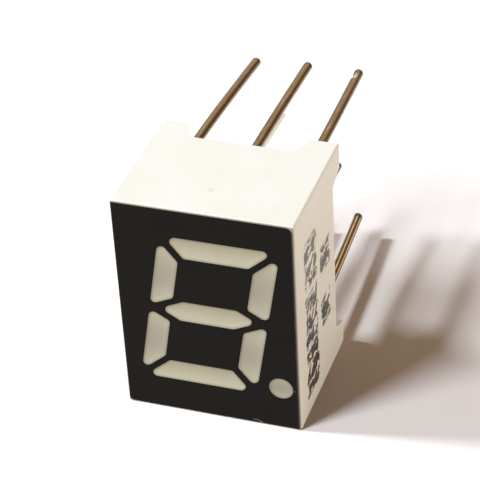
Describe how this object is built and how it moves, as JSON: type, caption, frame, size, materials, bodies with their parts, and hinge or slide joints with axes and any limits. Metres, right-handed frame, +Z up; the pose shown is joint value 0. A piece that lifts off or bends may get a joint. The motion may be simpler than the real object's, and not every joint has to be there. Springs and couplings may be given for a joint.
{
  "type": "seven segment display",
  "caption": "Single digit seven segment display with a decimal point: a white moulded body, a black face, pale cast segments and straight round pins at the back.",
  "frame": {"origin": "centre of the pin pattern, on the seating plane that the stand-off tips reach", "axes": "+X to the right of the digit, +Y from the face towards the pins, +Z up the digit"},
  "size_m": [0.0074, 0.0135, 0.01],
  "materials": {
    "moulding": "satin white injection-moulded plastic",
    "mask_ink": "satin black screen-printed ink",
    "diffused_resin": "milky cast epoxy, satin",
    "potting_resin": "milky poured epoxy, glossy",
    "board_laminate": "glass-epoxy laminate",
    "copper": "etched copper foil",
    "chip": "sawn semiconductor crystal",
    "bond_wire": "bright drawn gold wire",
    "solder": "bright tin solder",
    "pin_metal": "drawn brass wire, tarnished"
  },
  "bodies": {
    "root": {"housing": "moulding", "face_mask": "mask_ink", "segment_a": "diffused_resin", "segment_b": "diffused_resin", "segment_c": "diffused_resin", "segment_d": "diffused_resin", "segment_e": "diffused_resin", "segment_f": "diffused_resin", "segment_g": "diffused_resin", "decimal_point": "diffused_resin", "circuit_board": "board_laminate", "copper_tracks": "copper", "led_chip_a": "chip", "led_chip_b": "chip", "led_chip_c": "chip", "led_chip_d": "chip", "led_chip_e": "chip", "led_chip_f": "chip", "led_chip_g": "chip", "led_chip_point": "chip", "bond_wires": "bond_wire", "solder_joints": "solder", "back_resin": "potting_resin", "pin_1": "pin_metal", "pin_2": "pin_metal", "pin_3": "pin_metal", "pin_4": "pin_metal", "pin_5": "pin_metal", "pin_6": "pin_metal", "pin_7": "pin_metal", "pin_8": "pin_metal", "pin_9": "pin_metal", "pin_10": "pin_metal"}
  },
  "joints": []
}
